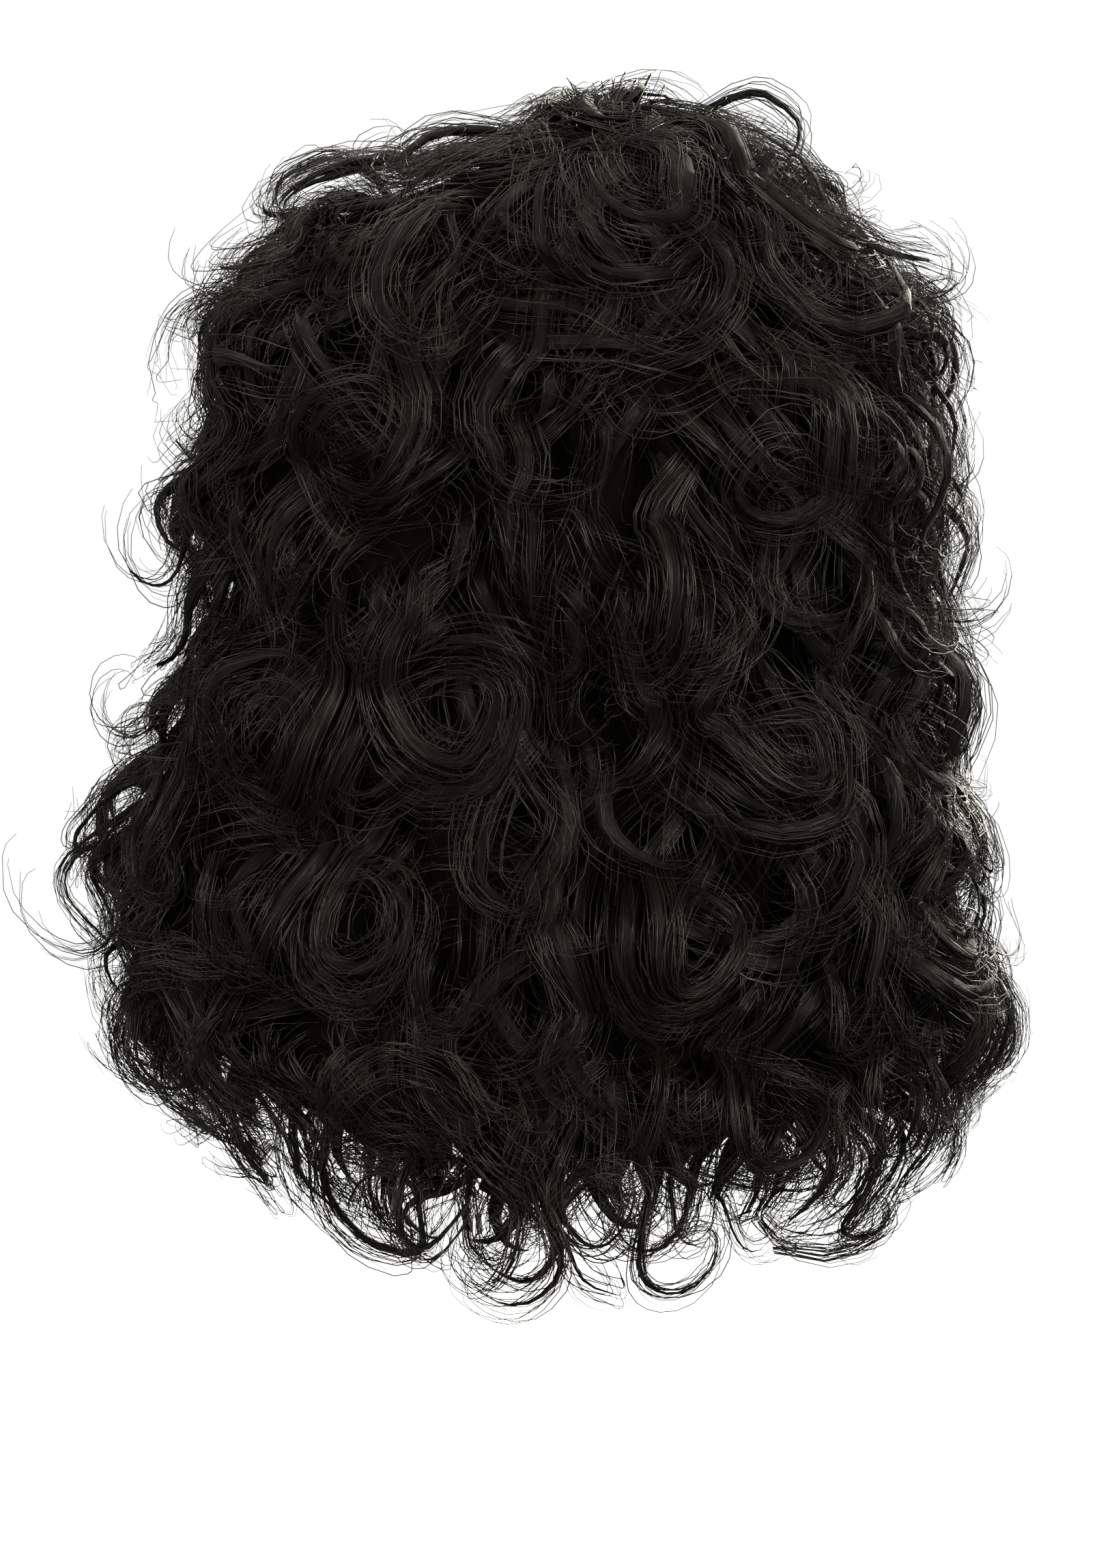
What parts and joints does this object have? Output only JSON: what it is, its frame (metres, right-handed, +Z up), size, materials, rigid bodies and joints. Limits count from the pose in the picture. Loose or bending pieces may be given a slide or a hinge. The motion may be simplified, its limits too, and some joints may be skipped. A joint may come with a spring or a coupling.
{
  "type": "pirate wig",
  "caption": "Black curly shoulder-length costume wig: a stretch cap with an elastic edge band, covered in wavy locks and ring curls, open at the face and neck.",
  "frame": {"origin": "the point inside the cap that rests on the crown of the head", "axes": "+Z up, the wearer faces -Y, and +X is the wearer's left"},
  "size_m": [0.3686, 0.2687, 0.4511],
  "materials": {
    "hair_fibre": "glossy black synthetic hair fibre",
    "cap_net": "matt black stretch net",
    "band_elastic": "matt black woven elastic"
  },
  "bodies": {
    "root": {"cap": "cap_net", "edge_band": "band_elastic", "crown_curls": "hair_fibre", "upper_back_curls": "hair_fibre", "middle_back_curls": "hair_fibre", "lower_back_curls": "hair_fibre", "left_side_curls": "hair_fibre", "right_side_curls": "hair_fibre", "left_front_curls": "hair_fibre", "right_front_curls": "hair_fibre"}
  },
  "joints": []
}
